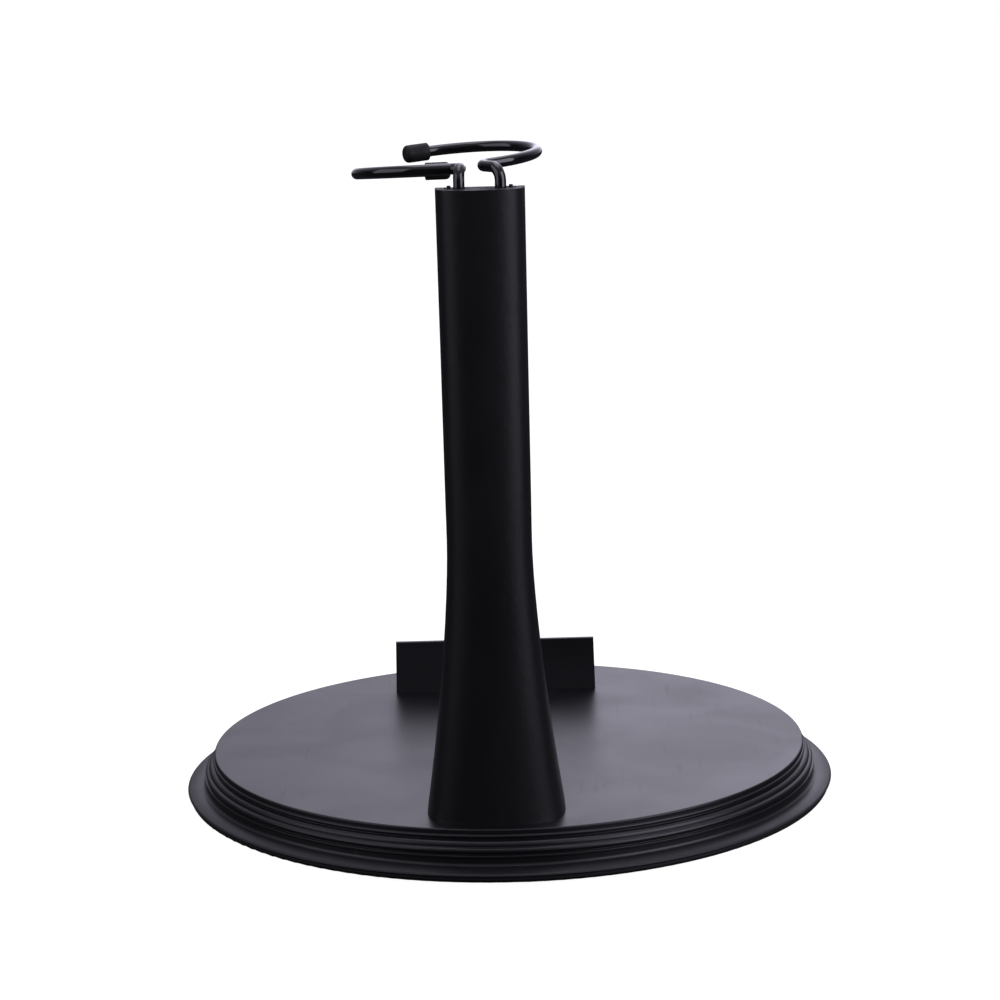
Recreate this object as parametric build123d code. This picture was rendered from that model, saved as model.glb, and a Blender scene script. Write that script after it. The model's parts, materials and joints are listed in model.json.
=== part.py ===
from build123d import *
from math import cos, radians, sin
import os

# A display stand for a 30 cm figure: a round moulded base with a stepped edge, a hollow pillar at the back,
# and two wire arms that swivel and rise on a carriage inside the pillar's top.
# Millimetres, +Z up, front towards -Y, origin on the table under the middle of the round base.

UP = (Align.CENTER, Align.CENTER, Align.MIN)

# The pillar, the clamp and the label block share a middle plane a little to the right of the base's own.
OFFSET_X = 3.2

# ---- base ----
BASE_R = 84.0
BASE_TOP = 11.8
TOP_FACE_R = 76.75
SEAM_Z = 2.5
PLATE_BOTTOM = 0.8
TOP_WALL = 2.2
RIB_BOTTOM = 5.0
RIB_THICK = 1.5
RIB_COUNT = 12
CAVITY_R = 74.3
SEAM_CAVITY_R = 77.0
FIT = 0.02

# ---- bottom plate screws and rubber feet ----
PLATE_SCREW_COUNT = 6
PLATE_SCREW_CIRCLE_R = 68.0
PLATE_SCREW_R = 1.15
PLATE_HEAD_R = 2.3
PLATE_HEAD_DEPTH = 1.15
PLATE_SCREW_TIP = 8.0
BOSS_R = 3.5
FOOT_COUNT = 4
FOOT_CIRCLE_R = 66.0
FOOT_R = 6.0
FOOT_THICK = 1.6

# ---- pillar ----
PILLAR_HEIGHT = 148.5
PILLAR_BACK_Y = 74.4
PILLAR_HALF_WIDTH = 9.9
PILLAR_TOP_GAIN = 0.35
PILLAR_FLARE = 6.6
FLARE_HEIGHT = 65.0
FLARE_POWER = 1.47
PILLAR_DEPTH = 12.0
DEPTH_FLARE = 8.0
ROUND_DEPTH = 9.0
ROUND_FLARE = 4.2
SQUARENESS = 0.75
PILLAR_WALL = 1.8
PLUG_HEIGHT = 10.0
COVER_GAP = 0.05
STATION_STEP = PILLAR_HEIGHT / 16
TOP_Z = BASE_TOP + PILLAR_HEIGHT
PILLAR_SCREW_X = 8.5
PILLAR_SCREW_Y = 64.4
PILLAR_SCREW_R = 1.3
PILLAR_SCREW_GRIP = 8.5
PAD_BOTTOM = 8.0
PAD_HALF_WIDTH = 17.0
WASHER_R = 3.4
WASHER_THICK = 0.8
HEAD_R = 2.5
HEAD_HIGH = 1.8

# ---- clamp carriage ----
LEG_X = 4.71
LEG_Y = 68.25
WIRE_R = 1.3
BORE_R = 1.35
CARRIAGE_GAP = 0.3
CARRIAGE_FRONT_Y = 64.5
CARRIAGE_BACK_Y = PILLAR_BACK_Y - PILLAR_WALL - CARRIAGE_GAP
CARRIAGE_HEIGHT = 36.0
CARRIAGE_BOTTOM = TOP_Z - CARRIAGE_HEIGHT
TRAVEL = 24.0
LUG_HIGH = 3.0
GROOVE_TOP = TOP_Z - 5.0
GROOVE_DEPTH = 1.5
LUG_HALF_WIDTH = 1.8
PIP_X = 7.05
PIP_Y = 67.6
PIP_R = 0.45
SPRING_HALF_WIDTH = 2.7
SPRING_THICK = 0.3
SPRING_GAP = 0.24
SPRING_SEAT_Y = CARRIAGE_BACK_Y - 1.1
SPRING_HALF_LENGTH = 11.0
SPRING_MID_Z = TOP_Z - 14.0

# ---- wire arms ----
BEND_Z = 4.6
BEND_R = 3.0
HAIRPIN_R = 2.6
LOOP_R = 18.56
LOOP_CENTRE = (9.7, -25.5)
LOOP_START = 118.0
LOOP_END = 294.0
HAIRPIN_CORNER_BACK = 4.7
LEG_BELOW = 3.0
RIGHT_ARM_SWING = 33.0
LEFT_ARM_RISE = (-0.061, -0.061)
RIGHT_ARM_RISE = (-0.019, 0.073)
TIP_R = 2.13
TIP_LENGTH = 6.1
TIP_WALL = 1.1
TIP_ROUND = 1.15
TIP_SHOULDER_ROUND = 0.2
RING_R = 2.9
RING_THICK = 0.6
RING_GAP = 0.1

# ---- label block at the front ----
BLOCK_BACK_Y = -47.4
BLOCK_WIDTH = 55.7
BLOCK_HEIGHT = 14.6
BLOCK_DEPTH = 16.0
BLOCK_TOP_FLAT = 1.2
BLOCK_TOE = 2.2
BLOCK_DRAFT = 1.1
BLOCK_WALL = 2.0
BLOCK_SCREW_X = 18.0
BLOCK_SCREW_Y = BLOCK_BACK_Y - 5.2
LABEL_WIDTH = 46.0
LABEL_HIGH = 13.0
LABEL_RECESS = 1.0
TAPE_THICK = 0.25
LABEL_THICK = 0.8


def outline_face(lines, plane):
    """A flat face on a plane from lines that join end to end and close."""
    return plane * make_face([edge for line in lines for edge in line.edges()])


def turned(*lines):
    """A solid turned about Z from an outline in (radius, height)."""
    return revolve(outline_face(lines, Plane.XZ), Axis.Z)


def post(x, y, z0, z1, r):
    """An upright cylinder from z0 to z1."""
    return Pos(x, y, z0) * Cylinder(r, z1 - z0, align=UP)


def block(x0, x1, y0, y1, z0, z1):
    """A box between two corners."""
    return Pos((x0 + x1) / 2, (y0 + y1) / 2, (z0 + z1) / 2) * Box(x1 - x0, y1 - y0, z1 - z0)


def on_circle(count, radius, first=0.0):
    """Evenly spaced (x, y) places on a circle."""
    angles = [radians(first + 360.0 * i / count) for i in range(count)]
    return [(radius * cos(a), radius * sin(a)) for a in angles]


def cross_slot(x, y, z0, z1, reach):
    """The cross cut of a screw head."""
    return block(x - reach, x + reach, y - 0.28, y + 0.28, z0, z1) + block(
        x - 0.28, x + 0.28, y - reach, y + reach, z0, z1
    )


# ------------------------------------------------------------------ base


def edge_outline():
    """The base's moulded edge from the middle of the top face down to the seam, as one line."""
    z = BASE_TOP
    top_line = Line((0, z), (TOP_FACE_R - 0.4, z))
    lip = ThreePointArc((TOP_FACE_R - 0.4, z), (TOP_FACE_R - 0.12, z - 0.12), (TOP_FACE_R, z - 0.4))
    band = Line((TOP_FACE_R, z - 0.4), (TOP_FACE_R, z - 1.25))
    bead = ThreePointArc((TOP_FACE_R, z - 1.25), (TOP_FACE_R + 0.45, z - 1.7), (TOP_FACE_R, z - 2.15))
    groove = Polyline((TOP_FACE_R, z - 2.15), (TOP_FACE_R, z - 2.45), (77.45, z - 2.6))
    ovolo = ThreePointArc((77.45, z - 2.6), (78.1, z - 3.05), (78.25, z - 3.85))
    ledge = Line((78.25, z - 3.85), (78.55, z - 3.95))
    torus = ThreePointArc((78.55, z - 3.95), (79.15, z - 4.55), (78.75, z - 5.3))
    step = Polyline((78.75, z - 5.3), (78.75, z - 5.5), (79.5, z - 5.6), (79.5, z - 6.1), (79.2, z - 6.2))
    wall = Line((79.2, z - 6.2), (79.2, z - 7.3))
    cove = ThreePointArc((79.2, z - 7.3), (79.43, z - 7.87), (80.0, z - 8.1))
    flange = ThreePointArc((80.0, z - 8.1), (81.8, z - 8.2), (83.3, z - 8.5))
    rim = ThreePointArc((83.3, z - 8.5), (83.82, z - 8.74), (BASE_R, z - 9.05))
    to_seam = Polyline((BASE_R, z - 9.05), (83.7, SEAM_Z), (SEAM_CAVITY_R, SEAM_Z))
    return [top_line, lip, band, bead, groove, ovolo, ledge, torus, step, wall, cove, flange, rim, to_seam]


def base_shell():
    """The moulded top of the base, hollow and ribbed underneath."""
    roof = BASE_TOP - TOP_WALL
    inside = Polyline(
        (SEAM_CAVITY_R, SEAM_Z),
        (SEAM_CAVITY_R, 5.2),
        (CAVITY_R, 7.0),
        (CAVITY_R, roof),
        (0, roof),
        (0, BASE_TOP),
    )
    shell = turned(*edge_outline(), inside)
    for i in range(RIB_COUNT):
        rib = block(12, CAVITY_R + 0.5, -RIB_THICK / 2, RIB_THICK / 2, RIB_BOTTOM, roof)
        shell += Rot(0, 0, 15 + 360.0 * i / RIB_COUNT) * rib
    for ring_r in (12.0, 42.0):
        shell += post(0, 0, RIB_BOTTOM, roof, ring_r + RIB_THICK) - post(0, 0, RIB_BOTTOM, roof, ring_r)
    for x, y in on_circle(PLATE_SCREW_COUNT, PLATE_SCREW_CIRCLE_R):
        shell += post(x, y, SEAM_Z, roof, BOSS_R)
    pad = (OFFSET_X - PAD_HALF_WIDTH, OFFSET_X + PAD_HALF_WIDTH, PILLAR_SCREW_Y - 7.5, PILLAR_SCREW_Y + 7.5)
    shell -= block(*pad, SEAM_Z, roof)
    shell += block(*pad, PAD_BOTTOM, roof)
    for side in (-1, 1):
        block_x = OFFSET_X + side * BLOCK_SCREW_X
        pillar_x = OFFSET_X + side * PILLAR_SCREW_X
        shell -= post(block_x, BLOCK_SCREW_Y, SEAM_Z, roof, HEAD_R + 1.2)
        shell -= post(block_x, BLOCK_SCREW_Y, SEAM_Z, BASE_TOP + 1, PILLAR_SCREW_R + 0.2)
        shell -= post(pillar_x, PILLAR_SCREW_Y, SEAM_Z, BASE_TOP + 1, PILLAR_SCREW_R + 0.2)
    for x, y in on_circle(PLATE_SCREW_COUNT, PLATE_SCREW_CIRCLE_R):
        shell -= post(x, y, SEAM_Z - 1, PLATE_SCREW_TIP + 0.4, PLATE_SCREW_R + FIT)
    return shell


def base_bottom_plate():
    """The flat cover that closes the base from below; its rounded rim shows under the seam."""
    rim = ThreePointArc((82.4, PLATE_BOTTOM), (83.12, 1.08), (83.5, 1.75))
    lip = Polyline((83.5, 1.75), (83.5, 2.2), (83.2, SEAM_Z))
    faces = Polyline((83.2, SEAM_Z), (0, SEAM_Z), (0, PLATE_BOTTOM), (82.4, PLATE_BOTTOM))
    plate = turned(rim, lip, faces)
    for x, y in on_circle(FOOT_COUNT, FOOT_CIRCLE_R, 45):
        plate -= post(x, y, 0, FOOT_THICK, FOOT_R + 0.1)
    for x, y in on_circle(PLATE_SCREW_COUNT, PLATE_SCREW_CIRCLE_R):
        plate -= post(x, y, 0, SEAM_Z + 1, PLATE_SCREW_R + 0.1)
        sink = Cone(PLATE_HEAD_R + 0.1, PLATE_SCREW_R + 0.1, PLATE_HEAD_DEPTH, align=UP)
        plate -= Pos(x, y, PLATE_BOTTOM) * sink
    return plate


def rubber_foot(x, y):
    """One round anti-slip foot, standing proud of the bottom plate."""
    foot = post(x, y, 0, FOOT_THICK, FOOT_R)
    return fillet(foot.edges().group_by(Axis.Z)[0], 0.35)


def bottom_plate_screws():
    """Countersunk screws from below into the shell's bosses."""
    screws = []
    for x, y in on_circle(PLATE_SCREW_COUNT, PLATE_SCREW_CIRCLE_R):
        head = Pos(x, y, PLATE_BOTTOM) * Cone(PLATE_HEAD_R, PLATE_SCREW_R, PLATE_HEAD_DEPTH, align=UP)
        screw = head + post(x, y, PLATE_BOTTOM + 0.5, PLATE_SCREW_TIP, PLATE_SCREW_R)
        screws.append(screw - cross_slot(x, y, PLATE_BOTTOM - 1, PLATE_BOTTOM + 0.6, 1.2))
    return Compound(children=screws)


# ------------------------------------------------------------------ pillar


def flare(height):
    """How much of the foot's flare is left at a height above the base: falls nearly straight, ends softly."""
    return max(1 - height / FLARE_HEIGHT, 0) ** FLARE_POWER


def half_width(height):
    top_gain = PILLAR_TOP_GAIN * (height / PILLAR_HEIGHT) ** 2
    return PILLAR_HALF_WIDTH + top_gain + PILLAR_FLARE * flare(height)


def front_y(height):
    return PILLAR_BACK_Y - PILLAR_DEPTH - DEPTH_FLARE * flare(height)


def pillar_section(height, inset, front):
    """A pillar cross-section: flat front, short straight sides and a back rounded like a squarish ellipse."""
    half = half_width(height) - inset
    back = PILLAR_BACK_Y - inset
    side = PILLAR_BACK_Y - ROUND_DEPTH - ROUND_FLARE * flare(height)
    side_pull = side + SQUARENESS * (back - side)
    back_pull = SQUARENESS * half
    right = Bezier((half, side), (half, side_pull), (back_pull, back), (0, back))
    left = Bezier((0, back), (-back_pull, back), (-half, side_pull), (-half, side))
    rest = Polyline((-half, side), (-half, front), (half, front), (half, side))
    face = make_face([*right.edges(), *left.edges(), *rest.edges()])
    return Pos(0, 0, BASE_TOP + height) * face


def slab_section(height, half, y0, y1):
    """A plain rectangular cross-section between the pillar's side walls."""
    face = make_face(Polyline((half, y1), (-half, y1), (-half, y0), (half, y0), (half, y1)))
    return Pos(0, 0, BASE_TOP + height) * face


def stations(first, last):
    """Evenly spaced heights for the cross-sections from first to last."""
    inner = [i * STATION_STEP for i in range(1, 16)]
    return [first] + [h for h in inner if first + 3 < h < last - 3] + [last]


def lofted(make_section, first, last):
    """A smooth loft through cross-sections at the pillar's stations."""
    return loft([make_section(h) for h in stations(first, last)])


def pillar_rear_shell():
    """The pillar's moulded channel: back and sides, with a solid plug at the foot."""
    body = lofted(lambda h: pillar_section(h, 0, front_y(h)), 0, PILLAR_HEIGHT)
    channel = lofted(lambda h: pillar_section(h, PILLAR_WALL, front_y(h) - 2), -1, PILLAR_HEIGHT + 2)
    plug = lofted(lambda h: pillar_section(h, PILLAR_WALL / 2, front_y(h) + PILLAR_WALL), 0, PLUG_HEIGHT)
    body = body - channel + plug
    for side in (-1, 1):
        top = BASE_TOP + PILLAR_SCREW_GRIP + 0.5
        body -= post(side * PILLAR_SCREW_X, PILLAR_SCREW_Y, BASE_TOP - 1, top, PILLAR_SCREW_R + FIT)
    return body


def pillar_front_cover():
    """The panel that closes the channel's front, with the lug that stops the carriage inside."""
    gap = PILLAR_WALL + COVER_GAP
    cover = lofted(
        lambda h: slab_section(h, half_width(h) - gap, front_y(h), front_y(h) + PILLAR_WALL - COVER_GAP),
        0,
        PILLAR_HEIGHT,
    )
    inner_y = front_y(PILLAR_HEIGHT) + PILLAR_WALL - 0.3
    lug_top = GROOVE_TOP - 0.2
    lug_back = CARRIAGE_FRONT_Y + GROOVE_DEPTH - 0.5
    return cover + block(-LUG_HALF_WIDTH, LUG_HALF_WIDTH, inner_y, lug_back, lug_top - LUG_HIGH, lug_top)


def pan_screw(x, y, head_top, tip):
    """A pan-head screw with its head below and its tip up."""
    head = post(x, y, head_top - HEAD_HIGH, head_top, HEAD_R)
    head = fillet(head.edges().group_by(Axis.Z)[0], 0.8)
    shank = post(x, y, head_top - 0.5, tip, PILLAR_SCREW_R)
    return head + shank - cross_slot(x, y, head_top - HEAD_HIGH - 1, head_top - 0.8, 1.4)


def pillar_foot_screws():
    """Two screws that pull the pillar's foot down on the base."""
    head_top = PAD_BOTTOM - WASHER_THICK
    tip = BASE_TOP + PILLAR_SCREW_GRIP
    places = [OFFSET_X + side * PILLAR_SCREW_X for side in (-1, 1)]
    return Compound(children=[pan_screw(x, PILLAR_SCREW_Y, head_top, tip) for x in places])


def pillar_foot_washers():
    """A washer under each pillar screw's head."""
    rings = []
    for side in (-1, 1):
        x = OFFSET_X + side * PILLAR_SCREW_X
        ring = post(x, PILLAR_SCREW_Y, PAD_BOTTOM - WASHER_THICK, PAD_BOTTOM, WASHER_R)
        rings.append(ring - post(x, PILLAR_SCREW_Y, PAD_BOTTOM - 2, PAD_BOTTOM + 1, PILLAR_SCREW_R + 0.1))
    return Compound(children=rings)


# ------------------------------------------------------------------ clamp


def clamp_carriage():
    """The block that slides in the pillar's top and holds both wire legs."""
    section = pillar_section(PILLAR_HEIGHT, PILLAR_WALL + CARRIAGE_GAP, CARRIAGE_FRONT_Y)
    body = extrude(section, -CARRIAGE_HEIGHT)
    body = chamfer(body.edges().group_by(Axis.Z)[-1], 0.25)
    for side in (-1, 1):
        body -= post(side * LEG_X, LEG_Y, CARRIAGE_BOTTOM - 1, TOP_Z + 1, BORE_R)
        mouth = Cone(BORE_R, BORE_R + 0.35, 0.35, align=(Align.CENTER, Align.CENTER, Align.MAX))
        body -= Pos(side * LEG_X, LEG_Y, TOP_Z) * mouth
        body += post(side * PIP_X, PIP_Y, TOP_Z - 0.5, TOP_Z + 0.7, PIP_R)
    groove_bottom = GROOVE_TOP - TRAVEL - LUG_HIGH - 0.8
    half = LUG_HALF_WIDTH + 0.3
    groove_back = CARRIAGE_FRONT_Y + GROOVE_DEPTH
    body -= block(-half, half, CARRIAGE_FRONT_Y - 1, groove_back, groove_bottom, GROOVE_TOP)
    pocket_half = SPRING_HALF_LENGTH + 0.6
    pocket_x = SPRING_HALF_WIDTH + 0.25
    pocket = block(-pocket_x, pocket_x, SPRING_SEAT_Y, CARRIAGE_BACK_Y + 1, -pocket_half, pocket_half)
    return body - Pos(0, 0, SPRING_MID_Z) * pocket


def carriage_leaf_spring():
    """A bowed steel strip on the carriage's back that rubs on the pillar and holds the height."""
    far = SPRING_SEAT_Y + SPRING_THICK
    crest = PILLAR_BACK_Y - PILLAR_WALL - SPRING_GAP
    reach = SPRING_HALF_LENGTH
    inner = ThreePointArc((SPRING_SEAT_Y, -reach), (crest - SPRING_THICK, 0), (SPRING_SEAT_Y, reach))
    outer = ThreePointArc((far, reach), (crest, 0), (far, -reach))
    upper_end = Line((SPRING_SEAT_Y, reach), (far, reach))
    lower_end = Line((far, -reach), (SPRING_SEAT_Y, -reach))
    face = outline_face([inner, upper_end, outer, lower_end], Plane.YZ)
    return Pos(0, 0, SPRING_MID_Z) * extrude(face, SPRING_HALF_WIDTH, both=True)


def arm_plane(side, swing, rise):
    """The tilted plane that an arm's loop lies in, with its origin where the leg bends over."""
    turned = radians(swing)
    origin = Vector(side * LEG_X, LEG_Y, TOP_Z + BEND_Z)
    normal = Vector(-rise[0], -rise[1], 1).normalized()
    across = Vector(cos(turned), sin(turned), rise[0] * cos(turned) + rise[1] * sin(turned))
    return Plane(origin=origin, x_dir=across, z_dir=normal)


def arm_route(side, plane):
    """An arm's centre line in its plane: leg, bend, hairpin, loop, and the straight end under the tip."""
    mirror = -side

    def at(x, y):
        return (mirror * x, y, 0)

    def on_loop(angle):
        a = radians(angle)
        return (LOOP_CENTRE[0] + LOOP_R * cos(a), LOOP_CENTRE[1] + LOOP_R * sin(a))

    start = on_loop(LOOP_START)
    a = radians(LOOP_START + 90)
    corner = (start[0] - HAIRPIN_CORNER_BACK * cos(a), start[1] - HAIRPIN_CORNER_BACK * sin(a))
    end = on_loop(LOOP_END)
    b = radians(LOOP_END + 90)
    tail = TIP_LENGTH - TIP_WALL - 0.1
    stop = (end[0] + tail * cos(b), end[1] + tail * sin(b))
    leg_foot = Vector(side * LEG_X, LEG_Y, CARRIAGE_BOTTOM - LEG_BELOW)
    foot = plane.to_local_coords(leg_foot)
    near = FilletPolyline(tuple(foot), (0, 0, 0), at(*corner), at(*start), radius=[BEND_R, HAIRPIN_R])
    loop = ThreePointArc(at(*start), at(*on_loop((LOOP_START + LOOP_END) / 2)), at(*end))
    last = Line(at(*end), at(*stop))
    return Wire([*near.edges(), *loop.edges(), *last.edges()]), at(*end), (mirror * cos(b), sin(b), 0)


def wire_arm(side, swing, rise):
    """A bent round wire: a leg in the carriage and a C-shaped arm."""
    plane = arm_plane(side, swing, rise)
    route = arm_route(side, plane)[0]
    section = Plane(origin=route @ 0, z_dir=route % 0) * Circle(WIRE_R)
    return plane * sweep(section, path=route)


def tip_cap(side, swing, rise):
    """The fat soft cap pushed over an arm's end."""
    plane = arm_plane(side, swing, rise)
    _, end, along = arm_route(side, plane)
    cap = post(0, 0, 0, TIP_LENGTH, TIP_R)
    cap = fillet(cap.edges().group_by(Axis.Z)[-1], TIP_ROUND)
    cap = fillet(cap.edges().group_by(Axis.Z)[0], TIP_SHOULDER_ROUND)
    cap -= post(0, 0, -1, TIP_LENGTH - TIP_WALL, WIRE_R + FIT)
    return plane * (Plane(origin=end, z_dir=along) * cap)


def retaining_ring(side):
    """A push-on ring that stops a leg from pulling up out of the carriage."""
    x = side * LEG_X
    top = CARRIAGE_BOTTOM - RING_GAP
    ring = post(x, LEG_Y, top - RING_THICK, top, RING_R)
    ring -= post(x, LEG_Y, top - 2, top + 1, WIRE_R + FIT)
    for angle in (90, 210, 330):
        notch = block(0, 2.1, -0.25, 0.25, top - 2, top + 1)
        ring -= Pos(x, LEG_Y, 0) * Rot(0, 0, angle) * notch
    return ring


# ------------------------------------------------------------------ label block


def block_outline(inset):
    """The wedge's side outline in (y, z): upright back, narrow top, sloping front and a low toe."""
    back = BLOCK_BACK_Y - inset
    top = BASE_TOP + BLOCK_HEIGHT - inset * 1.6
    toe = BASE_TOP + BLOCK_TOE - inset
    front = BLOCK_BACK_Y - BLOCK_DEPTH + inset
    if toe < BASE_TOP:
        return [(back, BASE_TOP), (back, top), (back - BLOCK_TOP_FLAT, top), (front, BASE_TOP)]
    return [(back, BASE_TOP), (back, top), (back - BLOCK_TOP_FLAT, top), (front, toe), (front, BASE_TOP)]


def slope_plane():
    """The block's sloping front, x across and y up the slope, with its origin in the slope's middle."""
    outline = block_outline(0)
    top = outline[2]
    toe = outline[3]
    run = Vector(0, top[0] - toe[0], top[1] - toe[1]).normalized()
    middle = (0, (top[0] + toe[0]) / 2, (top[1] + toe[1]) / 2)
    return Plane(origin=middle, x_dir=(1, 0, 0), z_dir=Vector(1, 0, 0).cross(run))


def on_slope(width, high, low, up):
    """A flat slab on the sloping front, between two distances from it."""
    slab = Pos(0, 0, (low + up) / 2) * Box(width, high, up - low)
    return slope_plane() * slab


def label_block():
    """The hollow wedge at the front of the base, with a shallow recess for the label."""
    outline = outline_face([Polyline(*block_outline(0), close=True)], Plane.YZ)
    body = extrude(outline, BLOCK_WIDTH / 2, both=True)
    draft = extrude(Rectangle(BLOCK_WIDTH, 60), BLOCK_HEIGHT, taper=BLOCK_DRAFT)
    body &= Pos(0, BLOCK_BACK_Y - BLOCK_DEPTH / 2, BASE_TOP) * draft
    hollow = outline_face([Polyline(*block_outline(BLOCK_WALL), close=True)], Plane.YZ)
    body -= extrude(hollow, BLOCK_WIDTH / 2 - BLOCK_WALL, both=True)
    rim = [e for e in body.edges().filter_by(Axis.X) if e.center().Z > BASE_TOP + BLOCK_HEIGHT - 0.1]
    body = fillet(rim, 0.35)
    for side in (-1, 1):
        x = side * BLOCK_SCREW_X
        body += post(x, BLOCK_SCREW_Y, BASE_TOP, BASE_TOP + 8.0, 2.9)
        body -= post(x, BLOCK_SCREW_Y, BASE_TOP - 1, BASE_TOP + 6.6, PILLAR_SCREW_R + FIT)
    return body - on_slope(LABEL_WIDTH + 0.3, LABEL_HIGH + 0.3, -LABEL_RECESS, 3)


def label_tape():
    """Double-sided tape in the recess."""
    return on_slope(LABEL_WIDTH - 2, LABEL_HIGH - 2, -LABEL_RECESS, -LABEL_RECESS + TAPE_THICK)


def label_plate():
    """A thin blank plate with rounded corners."""
    low = -LABEL_RECESS + TAPE_THICK
    slab = on_slope(LABEL_WIDTH, LABEL_HIGH, low, low + LABEL_THICK)
    normal = slope_plane().z_dir
    across = [e for e in slab.edges() if abs((e % 0).dot(normal)) > 0.99]
    return fillet(across, 0.8)


def label_block_screws():
    """Two screws from inside the base that hold the label block."""
    head_top = BASE_TOP - TOP_WALL
    tip = BASE_TOP + 6.0
    places = [OFFSET_X + side * BLOCK_SCREW_X for side in (-1, 1)]
    return Compound(children=[pan_screw(x, BLOCK_SCREW_Y, head_top, tip) for x in places])


def upright_pieces():
    """The pillar's, clamp's and label block's own pieces by name, about their middle plane."""
    pieces = {
        "pillar_rear_shell": pillar_rear_shell(),
        "pillar_front_cover": pillar_front_cover(),
        "clamp_carriage": clamp_carriage(),
        "carriage_leaf_spring": carriage_leaf_spring(),
        "label_block": label_block(),
        "label_tape": label_tape(),
        "label_plate": label_plate(),
    }
    for name, side, swing, rise in (
        ("left", -1, 0.0, LEFT_ARM_RISE),
        ("right", 1, RIGHT_ARM_SWING, RIGHT_ARM_RISE),
    ):
        pieces[f"{name}_wire_arm"] = wire_arm(side, swing, rise)
        pieces[f"{name}_tip_cap"] = tip_cap(side, swing, rise)
        pieces[f"{name}_retaining_ring"] = retaining_ring(side)
    return pieces


def build():
    """Every piece of the stand by its node's name."""
    pieces = {
        "base_shell": base_shell(),
        "base_bottom_plate": base_bottom_plate(),
        "bottom_plate_screws": bottom_plate_screws(),
        "pillar_foot_screws": pillar_foot_screws(),
        "pillar_foot_washers": pillar_foot_washers(),
        "label_block_screws": label_block_screws(),
    }
    for i, (x, y) in enumerate(on_circle(FOOT_COUNT, FOOT_CIRCLE_R, 45)):
        pieces[f"rubber_foot_{i + 1}"] = rubber_foot(x, y)
    for name, piece in upright_pieces().items():
        pieces[name] = Pos(OFFSET_X, 0, 0) * piece
    return pieces


os.makedirs("parts", exist_ok=True)
for node, shape in build().items():
    export_step(shape, f"parts/{node}.step")
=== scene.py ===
import json
import math

import bmesh
import bpy
import numpy as np
from mathutils import Matrix, Vector


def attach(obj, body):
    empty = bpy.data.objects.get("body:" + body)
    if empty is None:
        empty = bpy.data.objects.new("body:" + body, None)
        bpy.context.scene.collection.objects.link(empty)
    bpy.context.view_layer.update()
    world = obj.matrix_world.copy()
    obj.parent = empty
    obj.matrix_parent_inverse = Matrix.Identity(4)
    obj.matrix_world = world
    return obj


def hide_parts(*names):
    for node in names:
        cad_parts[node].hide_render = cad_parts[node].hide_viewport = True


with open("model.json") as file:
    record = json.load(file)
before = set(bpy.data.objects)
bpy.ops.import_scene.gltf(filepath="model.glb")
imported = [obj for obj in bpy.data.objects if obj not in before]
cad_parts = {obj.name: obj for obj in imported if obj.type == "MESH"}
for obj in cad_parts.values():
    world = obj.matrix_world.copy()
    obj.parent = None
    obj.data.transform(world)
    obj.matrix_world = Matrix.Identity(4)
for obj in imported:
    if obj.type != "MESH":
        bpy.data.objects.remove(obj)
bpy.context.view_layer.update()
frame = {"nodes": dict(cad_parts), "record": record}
MM = 0.001


# ------------------------------------------------------------------ helpers


def mesh_object(name, mesh):
    """A mesh as an object of the scene."""
    obj = bpy.data.objects.new(name, mesh)
    bpy.context.scene.collection.objects.link(obj)
    return obj


class Net:
    """Short calls for building a tree of shader nodes."""

    def __init__(self, tree):
        self.tree = tree

    def node(self, kind):
        return self.tree.nodes.new(kind)

    def link(self, a, b):
        self.tree.links.new(a, b)

    def maths(self, kind, a, b):
        """One operation on two values, each a number or another node's output."""
        node = self.node("ShaderNodeMath")
        node.operation = kind
        for socket, value in zip(node.inputs, (a, b)):
            if isinstance(value, (int, float)):
                socket.default_value = value
            else:
                self.link(value, socket)
        return node.outputs[0]

    def spread(self, value, low, high, to_low, to_high, kind="LINEAR"):
        """A value's range low..high turned into another one, clamped."""
        node = self.node("ShaderNodeMapRange")
        node.interpolation_type = kind
        node.inputs["From Min"].default_value = low
        node.inputs["From Max"].default_value = high
        node.inputs["To Min"].default_value = to_low
        node.inputs["To Max"].default_value = to_high
        self.link(value, node.inputs["Value"])
        return node.outputs["Result"]

    def apart(self, vector):
        """A vector's X, Y and Z outputs by name."""
        node = self.node("ShaderNodeSeparateXYZ")
        self.link(vector, node.inputs[0])
        return node.outputs

    def surface(self, output_kind, lit, seen):
        """Ends the tree with one shader for light and reflections and another for the eye."""
        out = self.node(output_kind)
        mix = self.node("ShaderNodeMixShader")
        self.link(self.node("ShaderNodeLightPath").outputs["Is Camera Ray"], mix.inputs["Fac"])
        self.link(lit.outputs[0], mix.inputs[1])
        self.link(seen.outputs[0], mix.inputs[2])
        self.link(mix.outputs[0], out.inputs["Surface"])


# ------------------------------------------------------------------ camera, light and floor

CAMERA_PLACE = Vector((-0.00055, 0.658, 0.2026))
CAMERA_AIM = Vector((0.0017, -0.9818, -0.18995)).normalized()
CAMERA_ROLL = math.radians(1.5)
CAMERA_LENS = 93.6
COOL = (0.86, 0.832, 1.0)
WHITE = (1, 1, 1, 1)

# The surroundings. Directions are of unit length, and strengths are of the light they give.
PATCH_STRENGTH = 1.8
PATCH_SHIFT = 0.1
PATCH_WIDTH = 0.23
PATCH_FROM_Y = -0.1
PATCH_FULL_Y = -0.75
DIM_SIDE = 0.02
CEILING_STRENGTH = 0.3
CEILING_FROM_Z = 0.15
CEILING_FULL_Z = 0.8

# Each soft light's place, the point it faces, its width, height and power.
SOFTBOXES = {
    "left_box": ((0.95, 0.45, 0.35), (0, 0.05, 0.08), 1.0, 1.2, 4),
    "right_box": ((-0.8, 0.55, 0.35), (0, 0.05, 0.08), 0.8, 1.2, 8),
    "top_box": ((0, -0.1, 1.2), (0, 0, 0.05), 0.8, 0.8, 3),
}

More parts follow.
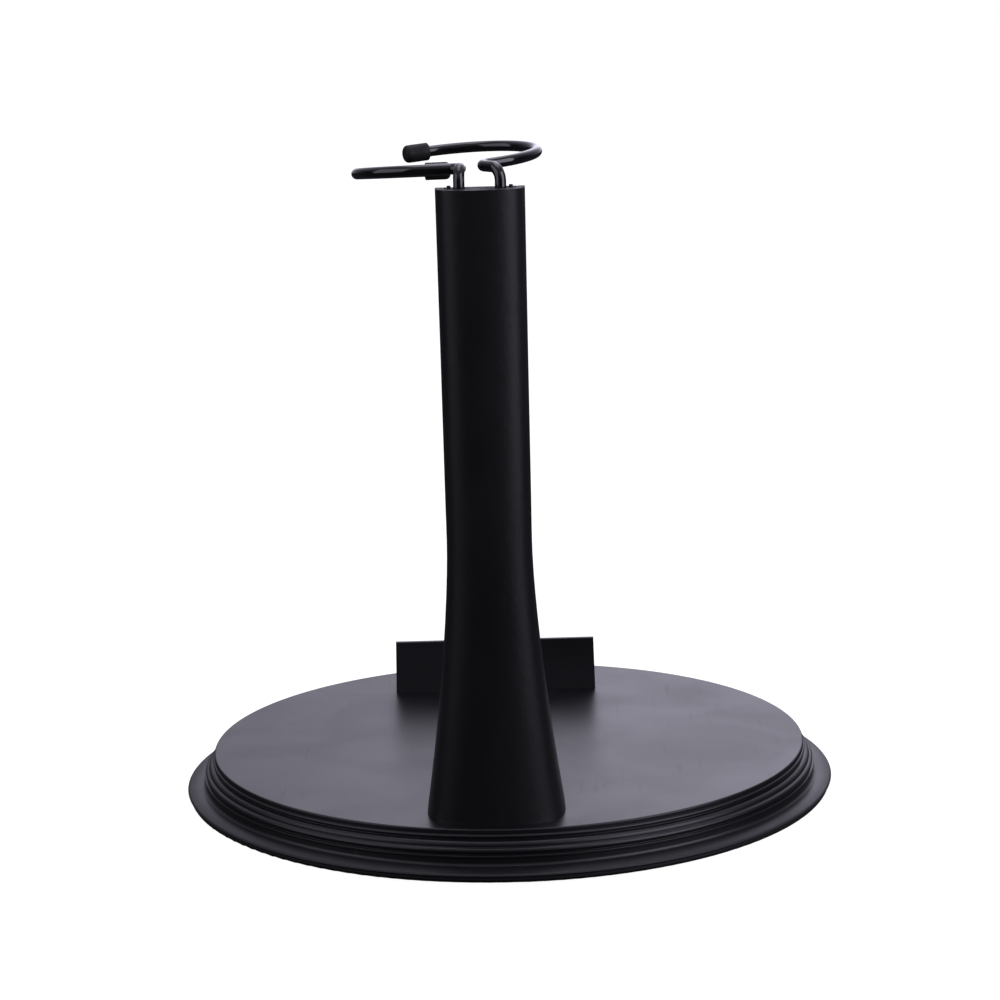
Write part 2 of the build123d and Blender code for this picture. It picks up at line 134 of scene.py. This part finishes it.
FLOOR_RADIUS = 14.0
FLOOR_DROP = 0.0001
FLOOR_WHITE = (0.25, 0.25, 0.25, 1)
FLOOR_GLOW = 0.98
FLOOR_UNSEEN = (0.04, 0.04, 0.044, 1)


def add_camera():
    """A camera behind the object, a little above it, as in the product shot."""
    data = bpy.data.cameras.new("camera")
    data.lens = CAMERA_LENS
    data.sensor_width = 36.0
    data.clip_start = 0.01
    data.clip_end = 50.0
    obj = bpy.data.objects.new("camera", data)
    bpy.context.scene.collection.objects.link(obj)
    right = CAMERA_AIM.cross(Vector((0, 0, 1))).normalized()
    up = right.cross(CAMERA_AIM)
    turned_right = right * math.cos(CAMERA_ROLL) - up * math.sin(CAMERA_ROLL)
    turned_up = turned_right.cross(CAMERA_AIM)
    basis = Matrix((turned_right, turned_up, -CAMERA_AIM)).transposed()
    obj.matrix_world = Matrix.Translation(CAMERA_PLACE) @ basis.to_4x4()
    bpy.context.scene.camera = obj


def softbox(name, place, target, width, height, power):
    """A rectangular soft light facing a point, unseen by the camera itself."""
    data = bpy.data.lights.new(name, "AREA")
    data.shape = "RECTANGLE"
    data.size = width
    data.size_y = height
    data.energy = power
    data.color = COOL
    obj = bpy.data.objects.new(name, data)
    bpy.context.scene.collection.objects.link(obj)
    obj.location = place
    obj.rotation_euler = (Vector(target) - Vector(place)).to_track_quat("-Z", "Y").to_euler()
    obj.visible_camera = False


def studio_world():
    """White to the eye. As a light: a bright patch behind the object, a faint ceiling, and dim elsewhere."""
    world = bpy.data.worlds.new("studio")
    bpy.context.scene.world = world
    world.use_nodes = True
    world.node_tree.nodes.clear()
    net = Net(world.node_tree)
    way = net.apart(net.node("ShaderNodeTexCoord").outputs["Generated"])
    behind = net.spread(way["Y"], PATCH_FROM_Y, PATCH_FULL_Y, DIM_SIDE, PATCH_STRENGTH, "SMOOTHSTEP")
    aside = net.maths("DIVIDE", net.maths("ADD", way["X"], PATCH_SHIFT), PATCH_WIDTH)
    falloff = net.maths("DIVIDE", 1.0, net.maths("ADD", net.maths("MULTIPLY", aside, aside), 1.0))
    above = net.spread(way["Z"], CEILING_FROM_Z, CEILING_FULL_Z, 0.0, CEILING_STRENGTH, "SMOOTHSTEP")
    lit = net.node("ShaderNodeBackground")
    lit.inputs["Color"].default_value = (*COOL, 1)
    net.link(net.maths("ADD", net.maths("MULTIPLY", behind, falloff), above), lit.inputs["Strength"])
    seen = net.node("ShaderNodeBackground")
    seen.inputs["Color"].default_value = WHITE
    net.surface("ShaderNodeOutputWorld", lit, seen)


def floor_material():
    """Near-white to the eye, and dim in the object's reflections, like a lit table on a dark stage."""
    material = bpy.data.materials.new("floor")
    material.use_nodes = True
    material.node_tree.nodes.clear()
    net = Net(material.node_tree)
    white = net.node("ShaderNodeBsdfDiffuse")
    white.inputs["Color"].default_value = FLOOR_WHITE
    glow = net.node("ShaderNodeEmission")
    glow.inputs["Strength"].default_value = FLOOR_GLOW
    seen = net.node("ShaderNodeAddShader")
    net.link(white.outputs[0], seen.inputs[0])
    net.link(glow.outputs[0], seen.inputs[1])
    dim = net.node("ShaderNodeBsdfDiffuse")
    dim.inputs["Color"].default_value = FLOOR_UNSEEN
    net.surface("ShaderNodeOutputMaterial", dim, seen)
    return material


def add_floor():
    """A wide pale floor that ends far outside the view, a hair below the feet."""
    bm = bmesh.new()
    bmesh.ops.create_circle(bm, cap_ends=True, segments=96, radius=FLOOR_RADIUS)
    mesh = bpy.data.meshes.new("floor")
    bm.to_mesh(mesh)
    bm.free()
    mesh.materials.append(floor_material())
    obj = mesh_object("floor", mesh)
    obj.location.z = -FLOOR_DROP


def set_view():
    """Colours as they are, with no film look."""
    settings = bpy.context.scene.view_settings
    settings.view_transform = "Standard"
    settings.look = "None"


# ------------------------------------------------------------------ materials


class Surface(Net):
    """A Principled material whose textures lie in the object's own metres."""

    def __init__(self, name, metallic=0.0, specular=0.5):
        self.material = bpy.data.materials.new(name)
        self.material.use_nodes = True
        super().__init__(self.material.node_tree)
        self.shader = self.tree.nodes["Principled BSDF"]
        self.shader.inputs["Metallic"].default_value = metallic
        self.shader.inputs["Specular IOR Level"].default_value = specular
        self.place = self.node("ShaderNodeTexCoord").outputs["Object"]

    def stretched(self, scale):
        """The object's coordinates, stretched."""
        mapping = self.node("ShaderNodeMapping")
        mapping.inputs["Scale"].default_value = scale
        self.link(self.place, mapping.inputs["Vector"])
        return mapping.outputs[0]

    def noise(self, size, detail=3.0, stretch=None, distortion=0.0):
        """Noise whose blobs are about size metres across."""
        node = self.node("ShaderNodeTexNoise")
        node.inputs["Scale"].default_value = 1.0 / size
        node.inputs["Detail"].default_value = detail
        node.inputs["Distortion"].default_value = distortion
        self.link(self.stretched(stretch) if stretch else self.place, node.inputs["Vector"])
        return node.outputs["Fac"]

    def cells(self, size):
        """Distance to the nearest of many scattered points about size metres apart."""
        node = self.node("ShaderNodeTexVoronoi")
        node.inputs["Scale"].default_value = 1.0 / size
        self.link(self.place, node.inputs["Vector"])
        return node.outputs["Distance"]

    def mixed(self, fac, a, b):
        """A colour between two, either of which is a triple or another colour's output."""
        node = self.node("ShaderNodeMix")
        node.data_type = "RGBA"
        self.link(fac, node.inputs["Factor"])
        for socket, value in ((node.inputs["A"], a), (node.inputs["B"], b)):
            if isinstance(value, tuple):
                socket.default_value = (*value, 1)
            else:
                self.link(value, socket)
        return node.outputs["Result"]

    def color(self, output):
        self.link(output, self.shader.inputs["Base Color"])

    def rough(self, output):
        self.link(output, self.shader.inputs["Roughness"])

    def bump(self, *layers):
        """Bumps on top of each other, each a (height output, depth in metres) pair."""
        normal = None
        for height, depth in layers:
            node = self.node("ShaderNodeBump")
            node.inputs["Strength"].default_value = 1.0
            node.inputs["Distance"].default_value = depth
            self.link(height, node.inputs["Height"])
            if normal is not None:
                self.link(normal, node.inputs["Normal"])
            normal = node.outputs[0]
        self.link(normal, self.shader.inputs["Normal"])


def dust_mask(surface, size, amount):
    """Sparse specks about size metres apart, in patches: up to amount on a speck and 0 elsewhere."""
    specks = surface.spread(surface.cells(size), 0.05, 0.09, 1.0, 0.0)
    patches = surface.spread(surface.noise(size * 9, 2.0), 0.5, 0.62, 0.0, amount)
    return surface.maths("MULTIPLY", specks, patches)


def edge_mask(surface, low, high):
    """1 on a convex edge, where rubbed wear and a painted edge highlight go, 0 on flat and hollow places."""
    geometry = surface.node("ShaderNodeNewGeometry")
    return surface.spread(geometry.outputs["Pointiness"], low, high, 0.0, 1.0)


def satin_plastic():
    """The base: satin black with faint handling marks, rubbed edges lightened as wear and as a painted edge
    highlight, a little dust and a duller rim.
    """
    s = Surface("satin_black_plastic")
    tone = s.mixed(s.noise(0.035, 3.0), (0.0040, 0.0040, 0.0046), (0.0070, 0.0068, 0.0080))
    # Convex edges lightened: partly rubbed wear, partly a painted highlight.
    wear_and_painted_highlight = s.maths("MULTIPLY", edge_mask(s, 0.53, 0.60), 0.25)
    tone = s.mixed(wear_and_painted_highlight, tone, (0.03, 0.03, 0.032))
    s.color(s.mixed(dust_mask(s, 0.007, 0.22), tone, (0.08, 0.08, 0.084)))
    smudge = s.spread(s.noise(0.028, 5.0, distortion=0.8), 0.35, 0.7, 0.35, 0.41)
    hair = s.spread(s.noise(0.0011, 2.0, stretch=(1.0, 0.06, 1.0)), 0.64, 0.76, 0.0, 0.03)
    handled = s.spread(s.apart(s.place)["Z"], 0.0040, 0.0030, 0.0, 0.2)
    s.rough(s.maths("ADD", s.maths("ADD", smudge, hair), handled))
    s.bump((s.noise(0.00035, 2.0), 0.0000025), (s.noise(0.004, 2.0), 0.000004))
    return s.material


def matte_plastic():
    """The pillar: matte black with a fine moulded grain, and convex edges lightened as wear and as a painted
    edge highlight.
    """
    s = Surface("matte_black_plastic", specular=0.38)
    tone = s.mixed(s.noise(0.02, 4.0), (0.0034, 0.0034, 0.0037), (0.0064, 0.0063, 0.0069))
    # Convex edges lightened: partly rubbed wear, partly a painted highlight.
    wear_and_painted_highlight = s.maths("MULTIPLY", edge_mask(s, 0.53, 0.62), 0.3)
    tone = s.mixed(wear_and_painted_highlight, tone, (0.035, 0.035, 0.037))
    s.color(tone)
    s.rough(s.spread(s.noise(0.012, 5.0, stretch=(1.0, 1.0, 0.35)), 0.3, 0.7, 0.40, 0.50))
    s.bump((s.noise(0.00028, 2.0), 0.000012), (s.noise(0.0022, 3.0), 0.000008))
    return s.material


def gloss_coating():
    """The wires: gloss black coating with a faint orange peel."""
    s = Surface("gloss_black_coating")
    s.color(s.mixed(s.noise(0.006, 3.0), (0.004, 0.004, 0.0045), (0.010, 0.0098, 0.0108)))
    s.rough(s.spread(s.noise(0.0035, 4.0), 0.3, 0.7, 0.09, 0.19))
    s.bump((s.noise(0.0016, 2.0), 0.000014))
    s.shader.inputs["Coat Weight"].default_value = 0.5
    s.shader.inputs["Coat Roughness"].default_value = 0.06
    return s.material


def soft_rubber(name, tone, grain):
    """Rubber or soft plastic with fine grain and a dusty bloom."""
    s = Surface(name, specular=0.35)
    light = tuple(c * 2.2 for c in tone)
    s.color(s.mixed(s.spread(s.noise(0.0018, 5.0), 0.35, 0.7, 0.0, 1.0), tone, light))
    s.rough(s.spread(s.noise(0.0025, 4.0), 0.3, 0.7, 0.52, 0.72))
    s.bump((s.noise(grain, 3.0), 0.00002), (s.noise(grain * 8, 2.0), 0.00004))
    return s.material


def turned_steel(name, tone, rough):
    """Plated or bare steel with fine drawing lines and slight staining."""
    s = Surface(name, metallic=1.0)
    dark = tuple(c * 0.72 for c in tone)
    s.color(s.mixed(s.noise(0.0016, 5.0), dark, tone))
    s.rough(s.spread(s.noise(0.0009, 4.0), 0.3, 0.7, rough - 0.07, rough + 0.1))
    s.bump((s.noise(0.0004, 3.0, stretch=(1.0, 1.0, 6.0)), 0.00001))
    return s.material


def brushed_plate():
    """The blank label: aluminium brushed along its length."""
    s = Surface("brushed_aluminium", metallic=1.0)
    lines = s.noise(0.00045, 4.0, stretch=(0.02, 1.0, 1.0))
    s.color(s.mixed(lines, (0.40, 0.40, 0.41), (0.62, 0.62, 0.63)))
    cloud = s.spread(s.noise(0.009, 4.0), 0.3, 0.7, 0.24, 0.34)
    s.rough(s.maths("ADD", cloud, s.spread(lines, 0.3, 0.7, 0.0, 0.1)))
    s.bump((lines, 0.000012))
    return s.material


def foam_tape():
    """The tape under the label: soft white foam."""
    s = Surface("white_foam_tape", specular=0.2)
    s.color(s.mixed(s.noise(0.0012, 4.0), (0.62, 0.61, 0.57), (0.78, 0.77, 0.73)))
    s.rough(s.spread(s.noise(0.002, 3.0), 0.3, 0.7, 0.7, 0.85))
    s.bump((s.noise(0.0004, 3.0), 0.00003))
    return s.material


def make_materials():
    """One material for each of the record's slots."""
    return {
        "base_plastic": satin_plastic(),
        "pillar_plastic": matte_plastic(),
        "carriage_plastic": soft_rubber("matte_black_acetal", (0.008, 0.008, 0.0085), 0.0003),
        "coated_wire": gloss_coating(),
        "tip_rubber": soft_rubber("soft_black_cap", (0.006, 0.006, 0.0058), 0.00035),
        "foot_rubber": soft_rubber("black_foot_rubber", (0.012, 0.012, 0.012), 0.0004),
        "screw_steel": turned_steel("zinc_plated_steel", (0.60, 0.60, 0.58), 0.3),
        "spring_steel": turned_steel("bare_spring_steel", (0.48, 0.47, 0.45), 0.33),
        "tape": foam_tape(),
        "label_metal": brushed_plate(),
    }


# ------------------------------------------------------------------ mesh helpers

CLEAR_CORNER = math.radians(20)
ON_AXIS = 1e-9
LONGEST_CUT = 0.42


def arc_points(a, mid, b, count):
    """Points after a up to b along the circle through three points in (radius, height)."""
    a, mid, b = (np.array(p, float) for p in (a, mid, b))
    d = 2 * (a[0] * (mid[1] - b[1]) + mid[0] * (b[1] - a[1]) + b[0] * (a[1] - mid[1]))
    sq = [float(p @ p) for p in (a, mid, b)]
    cx = (sq[0] * (mid[1] - b[1]) + sq[1] * (b[1] - a[1]) + sq[2] * (a[1] - mid[1])) / d
    cy = (sq[0] * (b[0] - mid[0]) + sq[1] * (a[0] - b[0]) + sq[2] * (mid[0] - a[0])) / d
    centre = np.array((cx, cy))
    angles = [math.atan2(*(p - centre)[::-1]) for p in (a, mid, b)]
    turn = (angles[2] - angles[0]) % (2 * math.pi)
    if (angles[1] - angles[0]) % (2 * math.pi) > turn:
        turn -= 2 * math.pi
    radius = np.linalg.norm(a - centre)
    steps = [angles[0] + turn * (i + 1) / count for i in range(count)]
    return [(cx + radius * math.cos(t), cy + radius * math.sin(t)) for t in steps]


def rounded(points, radius, count):
    """A closed outline with every clear corner rounded, but for those on the axis."""
    result = []
    total = len(points)
    for i, point in enumerate(points):
        p = Vector(point)
        before = Vector(points[i - 1]) - p
        after = Vector(points[(i + 1) % total]) - p
        turn = math.pi - before.angle(after)
        on_axis = abs(p.x) < ON_AXIS
        if turn < CLEAR_CORNER or on_axis:
            result.append(tuple(p))
            continue
        longest = LONGEST_CUT * min(before.length, after.length)
        cut = min(radius * math.tan(turn / 2), longest)
        start = p + before.normalized() * cut
        end = p + after.normalized() * cut
        for k in range(count + 1):
            t = k / count
            q = start * (1 - t) ** 2 + p * 2 * t * (1 - t) + end * t ** 2
            result.append(tuple(q))
    return result


def lathe(bm, outline, segments):
    """Turns a closed (radius, height) outline about Z into a closed mesh. Points on the axis are shared."""
    rings = []
    for radius, height in outline:
        if radius < ON_AXIS:
            rings.append([bm.verts.new((0, 0, height))])
            continue
        angles = [2 * math.pi * i / segments for i in range(segments)]
        rings.append([bm.verts.new((radius * math.cos(a), radius * math.sin(a), height)) for a in angles])
    for k, low in enumerate(rings):
        high = rings[(k + 1) % len(rings)]
        if len(low) == 1 and len(high) == 1:
            continue
        for i in range(segments):
            j = (i + 1) % segments
            corners = [low[i % len(low)], low[j % len(low)], high[j % len(high)], high[i % len(high)]]
            unique = list(dict.fromkeys(corners))
            if len(unique) > 2:
                bm.faces.new(unique)
    bmesh.ops.recalc_face_normals(bm, faces=bm.faces)


def box_mesh(bm, size, matrix):
    """A closed box inside a bigger piece, such as a rib, placed by a matrix."""
    bmesh.ops.create_cube(bm, size=1.0, matrix=matrix @ Matrix.Diagonal((*size, 1)))


def tube_mesh(bm, place, inner, outer, low, high, segments):
    """A ring or, with no inner radius, a post, between two heights."""
    turned_mesh(bm, place, [(inner, low), (outer, low), (outer, high), (inner, high)], segments)


def turned_mesh(bm, place, outline, segments):
    """A turned shape about an upright axis at a place."""
    before = set(bm.verts)
    lathe(bm, outline, segments)
    added = [v for v in bm.verts if v not in before]
    bmesh.ops.translate(bm, verts=added, vec=(*place, 0))


def scratch_object(name, fill):
    """A helper object in millimetres, made by a function that fills its mesh."""
    bm = bmesh.new()
    fill(bm)
    bmesh.ops.recalc_face_normals(bm, faces=bm.faces)
    mesh = bpy.data.meshes.new(name)
    bm.to_mesh(mesh)
    bm.free()
    return mesh_object(name, mesh)


def combined(base, steps, overlapping=False):
    """The base object's mesh after (operation, object) booleans. Overlapping: its own solids cross."""
    for operation, other in steps:
        modifier = base.modifiers.new(operation, "BOOLEAN")
        modifier.operation = operation
        modifier.object = other
        modifier.solver = "EXACT"
        modifier.use_self = overlapping
    graph = bpy.context.evaluated_depsgraph_get()
    mesh = bpy.data.meshes.new_from_object(base.evaluated_get(graph))
    for obj in [base] + [other for _, other in steps]:
        bpy.data.objects.remove(obj)
    return mesh


# ------------------------------------------------------------------ the base shell

# Millimetres, with heights from the table. The seam is where the bottom plate meets the shell.
BASE_TOP = 11.8
ROOF = 9.6
SEAM = 2.5
MIDDLE_X = 3.2
FILLET = 0.14
AROUND = 240
PLATE_SCREWS = 6
PLATE_SCREW_CIRCLE = 68
BOSS_RADIUS = 3.5
PILOT_RADIUS = 1.17
PILOT_TOP = 8.4
RIBS = 12
RIB_THICKNESS = 1.5
RIB_BOTTOM = 5
RIB_INNER = 12.4
RIB_OUTER = 74.9
RING_RADII = (12, 42)
PAD_WIDTH = 34
PAD_DEPTH = 15
PAD_BOTTOM = 8
PILLAR_Y = 64.4
PILLAR_SCREW_X = 8.5
BLOCK_SCREW_X = 18
BLOCK_SCREW_Y = -52.6
SCREW_HOLE = 1.5
HEAD_ROOM = 3.7

# Every hole is cut from below the shell, and a through hole goes on above it. Ribs sink into the roof.
BELOW_ALL = 1.5
ABOVE_ALL = 13
SINK = 0.4

# How wide each sharp-edged part's edges are rounded, in metres.
SOFT_EDGES = {
    "pillar_rear_shell": 0.00016,
    "pillar_front_cover": 0.00016,
    "clamp_carriage": 0.00010,
    "label_block": 0.00018,
    "label_plate": 0.00012,
}


def base_outline():
    """The shell's wall in (radius, height) millimetres: moulded edge outside, cavity inside."""
    z = BASE_TOP
    points = [(0, z), (76.35, z)]
    points += arc_points((76.35, z), (76.63, z - 0.12), (76.75, z - 0.4), 6)
    points += [(76.75, z - 1.25)]
    points += arc_points((76.75, z - 1.25), (77.2, z - 1.7), (76.75, z - 2.15), 12)
    points += [(76.75, z - 2.45), (77.45, z - 2.6)]
    points += arc_points((77.45, z - 2.6), (78.1, z - 3.05), (78.25, z - 3.85), 8)
    points += [(78.55, z - 3.95)]
    points += arc_points((78.55, z - 3.95), (79.15, z - 4.55), (78.75, z - 5.3), 12)
    points += [(78.75, z - 5.5), (79.5, z - 5.6), (79.5, z - 6.1), (79.2, z - 6.2), (79.2, z - 7.3)]
    points += arc_points((79.2, z - 7.3), (79.43, z - 7.87), (80.0, z - 8.1), 8)
    points += arc_points((80.0, z - 8.1), (81.8, z - 8.2), (83.3, z - 8.5), 6)
    points += arc_points((83.3, z - 8.5), (83.82, z - 8.74), (84.0, z - 9.05), 6)
    points += [(83.7, SEAM), (77, SEAM), (77, 5.2), (74.3, 7), (74.3, ROOF), (0, ROOF)]
    return points


def plate_screw_places():
    """Where the bottom plate's screws stand."""
    angles = [math.radians(360 * i / PLATE_SCREWS) for i in range(PLATE_SCREWS)]
    return [(PLATE_SCREW_CIRCLE * math.cos(a), PLATE_SCREW_CIRCLE * math.sin(a)) for a in angles]


def base_ribs(bm):
    """The cavity's ribs, rings and screw bosses. Each kind reaches a little further into the roof."""
    length = RIB_OUTER - RIB_INNER
    middle = Matrix.Translation((RIB_INNER + length / 2, 0, (RIB_BOTTOM + ROOF + SINK) / 2))
    for i in range(RIBS):
        turn = Matrix.Rotation(math.radians(360 * (i + 0.5) / RIBS), 4, "Z")
        box_mesh(bm, (length, RIB_THICKNESS, ROOF + SINK - RIB_BOTTOM), turn @ middle)
    for radius in RING_RADII:
        tube_mesh(bm, (0, 0), radius, radius + RIB_THICKNESS, RIB_BOTTOM + 0.01, ROOF + SINK + 0.02, 96)
    for place in plate_screw_places():
        tube_mesh(bm, place, 0, BOSS_RADIUS, SEAM + 0.01, ROOF + SINK + 0.04, 48)


def base_pad(bm):
    """The thick pad that the pillar's screws pull on, a hair wider than its room."""
    top = ROOF + SINK + 0.05
    middle = Matrix.Translation((MIDDLE_X, PILLAR_Y, (PAD_BOTTOM + top) / 2))
    box_mesh(bm, (PAD_WIDTH + 0.02, PAD_DEPTH + 0.02, top - PAD_BOTTOM), middle)


def pad_room(bm):
    """The space cleared of ribs under the pillar pad."""
    low = SEAM - 0.1
    middle = Matrix.Translation((MIDDLE_X, PILLAR_Y, (low + PAD_BOTTOM) / 2))
    box_mesh(bm, (PAD_WIDTH, PAD_DEPTH, PAD_BOTTOM - low), middle)


def base_holes(bm):
    """Screw holes for the bottom plate, the pillar and the label block."""
    for place in plate_screw_places():
        tube_mesh(bm, place, 0, PILOT_RADIUS, BELOW_ALL, PILOT_TOP, 32)
    ledge = ROOF - 0.01
    recess = [(0, BELOW_ALL), (HEAD_ROOM, BELOW_ALL), (HEAD_ROOM, ledge)]
    recess += [(SCREW_HOLE, ledge), (SCREW_HOLE, ABOVE_ALL), (0, ABOVE_ALL)]
    for side in (-1, 1):
        pillar_screw = (MIDDLE_X + side * PILLAR_SCREW_X, PILLAR_Y)
        tube_mesh(bm, pillar_screw, 0, SCREW_HOLE, BELOW_ALL, ABOVE_ALL, 32)
        turned_mesh(bm, (MIDDLE_X + side * BLOCK_SCREW_X, BLOCK_SCREW_Y), recess, 48)


def make_base(material):
    """The moulded top of the base, finely turned, with its ribs and bosses underneath."""
    room = scratch_object("room", pad_room)
    pad = scratch_object("pad", base_pad)
    ribs = scratch_object("ribs", base_ribs)
    core = combined(ribs, [("DIFFERENCE", room), ("UNION", pad)], overlapping=True)
    outline = rounded(base_outline(), FILLET, 3)
    shell = scratch_object("turned_shell", lambda bm: lathe(bm, outline, AROUND))
    steps = [("UNION", mesh_object("core", core)), ("DIFFERENCE", scratch_object("holes", base_holes))]
    mesh = combined(shell, steps)
    mesh.transform(Matrix.Scale(MM, 4))
    mesh.name = "moulded_base"
    mesh.materials.clear()
    mesh.materials.append(material)
    mesh.polygons.foreach_set("material_index", [0] * len(mesh.polygons))
    mesh.shade_smooth()
    mesh.set_sharp_from_angle(angle=math.radians(35))
    obj = mesh_object("moulded_base", mesh)
    even = obj.modifiers.new("even_shading", "WEIGHTED_NORMAL")
    even.keep_sharp = True
    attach(obj, "stand")
    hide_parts("base_shell")


def smooth_group():
    """A small node group that smooths a mesh's shading."""
    group = bpy.data.node_groups.new("smooth_shading", "GeometryNodeTree")
    group.interface.new_socket("Geometry", in_out="INPUT", socket_type="NodeSocketGeometry")
    group.interface.new_socket("Geometry", in_out="OUTPUT", socket_type="NodeSocketGeometry")
    start = group.nodes.new("NodeGroupInput")
    end = group.nodes.new("NodeGroupOutput")
    smooth = group.nodes.new("GeometryNodeSetShadeSmooth")
    group.links.new(start.outputs[0], smooth.inputs[0])
    group.links.new(smooth.outputs[0], end.inputs[0])
    return group


def soften_edges(node, width, smoothing):
    """Real rounded edges on a carried-over CAD part, by modifiers alone."""
    weld = node.modifiers.new("weld", "WELD")
    weld.merge_threshold = 1e-7
    shade = node.modifiers.new("smooth", "NODES")
    shade.node_group = smoothing
    bevel = node.modifiers.new("soft_edges", "BEVEL")
    bevel.width = width
    bevel.segments = 3
    bevel.limit_method = "ANGLE"
    bevel.angle_limit = math.radians(32)
    bevel.use_clamp_overlap = True
    even = node.modifiers.new("even_shading", "WEIGHTED_NORMAL")
    even.keep_sharp = False


# ------------------------------------------------------------------ the pieces

add_camera()
studio_world()
add_floor()
set_view()
for name, settings in SOFTBOXES.items():
    softbox(name, *settings)
materials = make_materials()
slots = {part["node"]: part["material_slot"] for part in frame["record"]["subparts"]}
for name, node in frame["nodes"].items():
    node.data.materials.clear()
    node.data.materials.append(materials[slots[name]])
make_base(materials["base_plastic"])
smoothing = smooth_group()
for name, width in SOFT_EDGES.items():
    soften_edges(frame["nodes"][name], width, smoothing)
